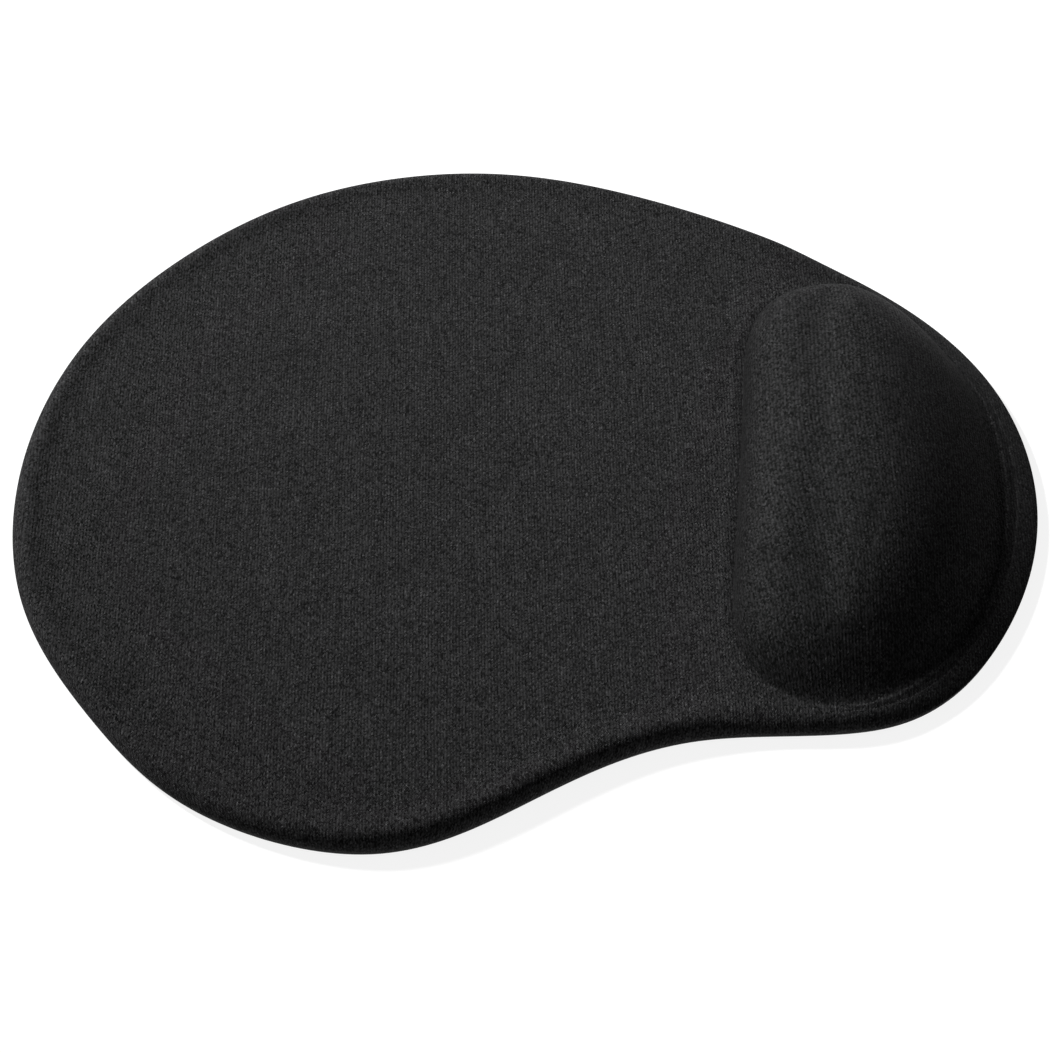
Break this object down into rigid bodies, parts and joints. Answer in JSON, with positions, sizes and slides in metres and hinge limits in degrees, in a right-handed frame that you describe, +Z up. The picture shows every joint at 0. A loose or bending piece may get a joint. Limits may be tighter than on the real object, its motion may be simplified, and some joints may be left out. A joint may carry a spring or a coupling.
{
  "type": "mouse pad with wrist rest",
  "caption": "Bean-shaped mouse pad with a raised D-shaped gel wrist rest under one stretch knit cover, on a non-slip base.",
  "frame": {"origin": "on the desk surface, at the centre of the pad's bounding box", "axes": "+X to the user's right, +Y away from the user, +Z up; the wrist rest lies along the -Y edge"},
  "size_m": [0.2184, 0.2494, 0.0244],
  "materials": {
    "cover_knit": "fine stretch knit, near black, soft sheen",
    "glue_film": "milky hot-melt film",
    "foam": "open-cell foam, charcoal",
    "pouch_film": "clear flexible film",
    "gel": "soft translucent gel",
    "base_rubber": "matt black, small raised grip pattern"
  },
  "bodies": {
    "root": {"cover_fabric": "cover_knit", "cover_glue_film": "glue_film", "foam_board": "foam", "gel_pouch_top": "pouch_film", "gel_core": "gel", "gel_pouch_base": "pouch_film", "base_glue_film": "glue_film", "base_sheet": "base_rubber"}
  },
  "joints": []
}
